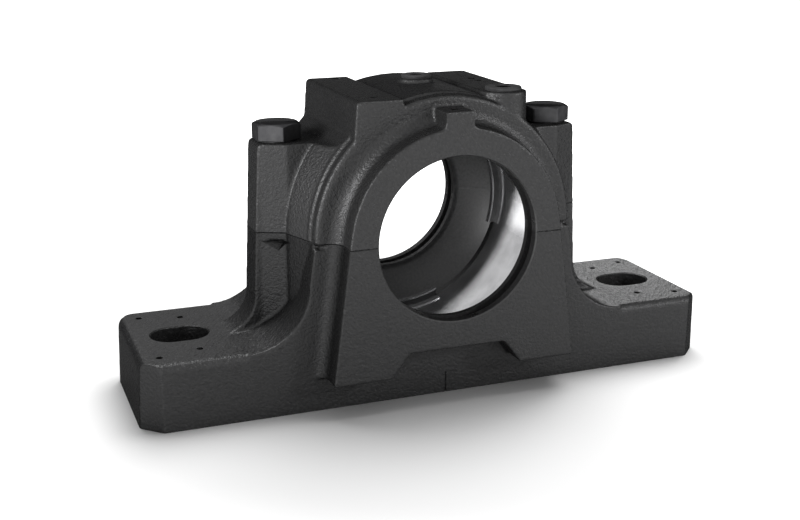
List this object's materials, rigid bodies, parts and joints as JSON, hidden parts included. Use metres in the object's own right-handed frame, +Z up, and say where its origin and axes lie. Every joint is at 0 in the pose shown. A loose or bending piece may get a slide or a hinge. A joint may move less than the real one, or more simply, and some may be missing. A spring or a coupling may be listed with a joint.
{
  "type": "plummer block",
  "caption": "Split cast housing for a rolling bearing: a slotted foot carries a round body with a shaft opening through it, and a cap drawn down by two bolts.",
  "frame": {"origin": "middle of the underside of the foot, under the middle of the shaft", "axes": "+X along the foot to the right as seen in the picture, +Y along the shaft away from the viewer, +Z up"},
  "size_m": [0.255, 0.096, 0.1301],
  "materials": {
    "painted_iron": "charcoal paint over a fine cast skin, satin; bearing seat turned bright",
    "bolt_steel": "dark grey satin",
    "pin_steel": "ground",
    "plug_steel": "dark satin"
  },
  "bodies": {
    "root": {"housing_base": "painted_iron", "housing_cap": "painted_iron", "cap_bolt_left": "bolt_steel", "cap_bolt_right": "bolt_steel", "locating_pin_left": "pin_steel", "locating_pin_right": "pin_steel", "crown_plug": "plug_steel", "pad_plug": "plug_steel"}
  },
  "joints": []
}
